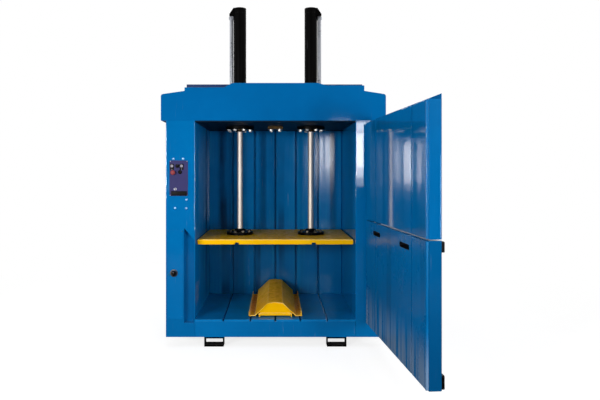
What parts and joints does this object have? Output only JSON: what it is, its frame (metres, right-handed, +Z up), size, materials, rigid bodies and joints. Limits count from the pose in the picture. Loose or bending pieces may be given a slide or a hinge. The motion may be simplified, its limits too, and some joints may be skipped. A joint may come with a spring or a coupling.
{
  "type": "recycling baler",
  "caption": "Vertical twin-cylinder baler: press platen on rods over a chamber with a split side-hinged front door, bale ejector, controls and fork loops.",
  "frame": {"origin": "on the ground, midway between the fork loops, in the plane of the frame's front, where a pallet truck comes in", "axes": "+Z up, -Y out of the front towards the operator, +X to the right seen from the front"},
  "size_m": [1.7621, 2.4489, 2.704],
  "materials": {
    "blue_paint": "gloss",
    "navy_paint": "satin",
    "yellow_paint": "gloss",
    "black_paint": "satin",
    "chrome": "polished",
    "zinc": "satin",
    "steel": "machined",
    "brass": "satin",
    "panel_grey": "satin",
    "motor_grey": "painted",
    "black_plastic": "gloss",
    "white_plastic": "gloss",
    "red_plastic": "gloss"
  },
  "bodies": {
    "frame": {"back_frame": "blue_paint", "back_planks": "blue_paint", "base_frame": "blue_paint", "centre_block": "brass", "control_enclosure": "black_paint", "control_panel": "panel_grey", "crosshead": "blue_paint", "cylinder_caps": "black_paint", "cylinder_glands": "black_paint", "ejector_pivot": "yellow_paint", "electric_motor": "motor_grey", "floor_planks": "blue_paint", "front_left_fork_loop": "black_paint", "front_right_fork_loop": "black_paint", "gland_bolts": "steel", "hinge_brackets": "blue_paint", "hood": "blue_paint", "hydraulic_pump": "motor_grey", "left_column": "blue_paint", "left_cylinder_barrel": "black_paint", "left_return_pipe": "zinc", "left_side_wall": "blue_paint", "lock_cover": "blue_paint", "oil_tank": "motor_grey", "panel_lamp": "white_plastic", "panel_strip": "black_plastic", "pressure_lines": "zinc", "rear_left_fork_loop": "black_paint", "rear_right_fork_loop": "black_paint", "right_column": "blue_paint", "right_cylinder_barrel": "black_paint", "right_return_pipe": "zinc", "right_side_wall": "blue_paint", "service_lid": "navy_paint", "valve_block": "steel"},
    "platen": {"platen_plate": "yellow_paint", "left_rod": "chrome", "right_rod": "chrome", "rod_flanges": "black_paint", "flange_bolts": "steel", "pistons": "steel"},
    "upper_door": {"upper_door_shell": "blue_paint", "upper_door_liner": "blue_paint", "upper_door_handle": "blue_paint"},
    "lower_door": {"lower_door_shell": "blue_paint", "lower_door_liner": "blue_paint", "lock_lugs": "black_paint"},
    "ejector": {"ejector_saddle": "yellow_paint"},
    "knob": {"lock_knob": "black_plastic"},
    "up_button": {"up_button": "white_plastic"},
    "down_button": {"down_button": "white_plastic"},
    "stop_button": {"stop_button": "red_plastic"},
    "reset_button": {"reset_button": "black_plastic"},
    "selector": {"selector_switch": "black_plastic"}
  },
  "joints": [
    {"name": "platen_slide", "type": "slide", "parent": "frame", "child": "platen", "axis": [0, 0, 1], "range_m": [-0.109, 0.761]},
    {"name": "upper_door_hinge", "type": "hinge", "parent": "frame", "child": "upper_door", "pos_m": [0.71, -0.039, 1.35], "axis": [0, 0, 1], "range_deg": [-94.3, 55]},
    {"name": "lower_door_hinge", "type": "hinge", "parent": "frame", "child": "lower_door", "pos_m": [0.71, -0.039, 0.59], "axis": [0, 0, 1], "range_deg": [-94.3, 55]},
    {"name": "ejector_hinge", "type": "hinge", "parent": "frame", "child": "ejector", "pos_m": [0, 0.094, 0.227], "axis": [1, 0, 0], "range_deg": [0, 20]},
    {"name": "lock_turn", "type": "hinge", "parent": "frame", "child": "knob", "pos_m": [-0.77, 0, 0.563], "axis": [0, -1, 0], "range_deg": [0, 90]},
    {"name": "selector_turn", "type": "hinge", "parent": "frame", "child": "selector", "pos_m": [-0.744, 0, 1.376], "axis": [0, -1, 0], "range_deg": [-45, 45]},
    {"name": "up_button_press", "type": "slide", "parent": "frame", "child": "up_button", "axis": [0, 1, 0], "range_m": [0, 0.004], "stiffness_N_per_m": 900, "springref_m": -0.002},
    {"name": "down_button_press", "type": "slide", "parent": "frame", "child": "down_button", "axis": [0, 1, 0], "range_m": [0, 0.004], "stiffness_N_per_m": 900, "springref_m": -0.002},
    {"name": "stop_button_press", "type": "slide", "parent": "frame", "child": "stop_button", "axis": [0, 1, 0], "range_m": [0, 0.004], "stiffness_N_per_m": 900, "springref_m": -0.002},
    {"name": "reset_button_press", "type": "slide", "parent": "frame", "child": "reset_button", "axis": [0, 1, 0], "range_m": [0, 0.004], "stiffness_N_per_m": 900, "springref_m": -0.002}
  ]
}
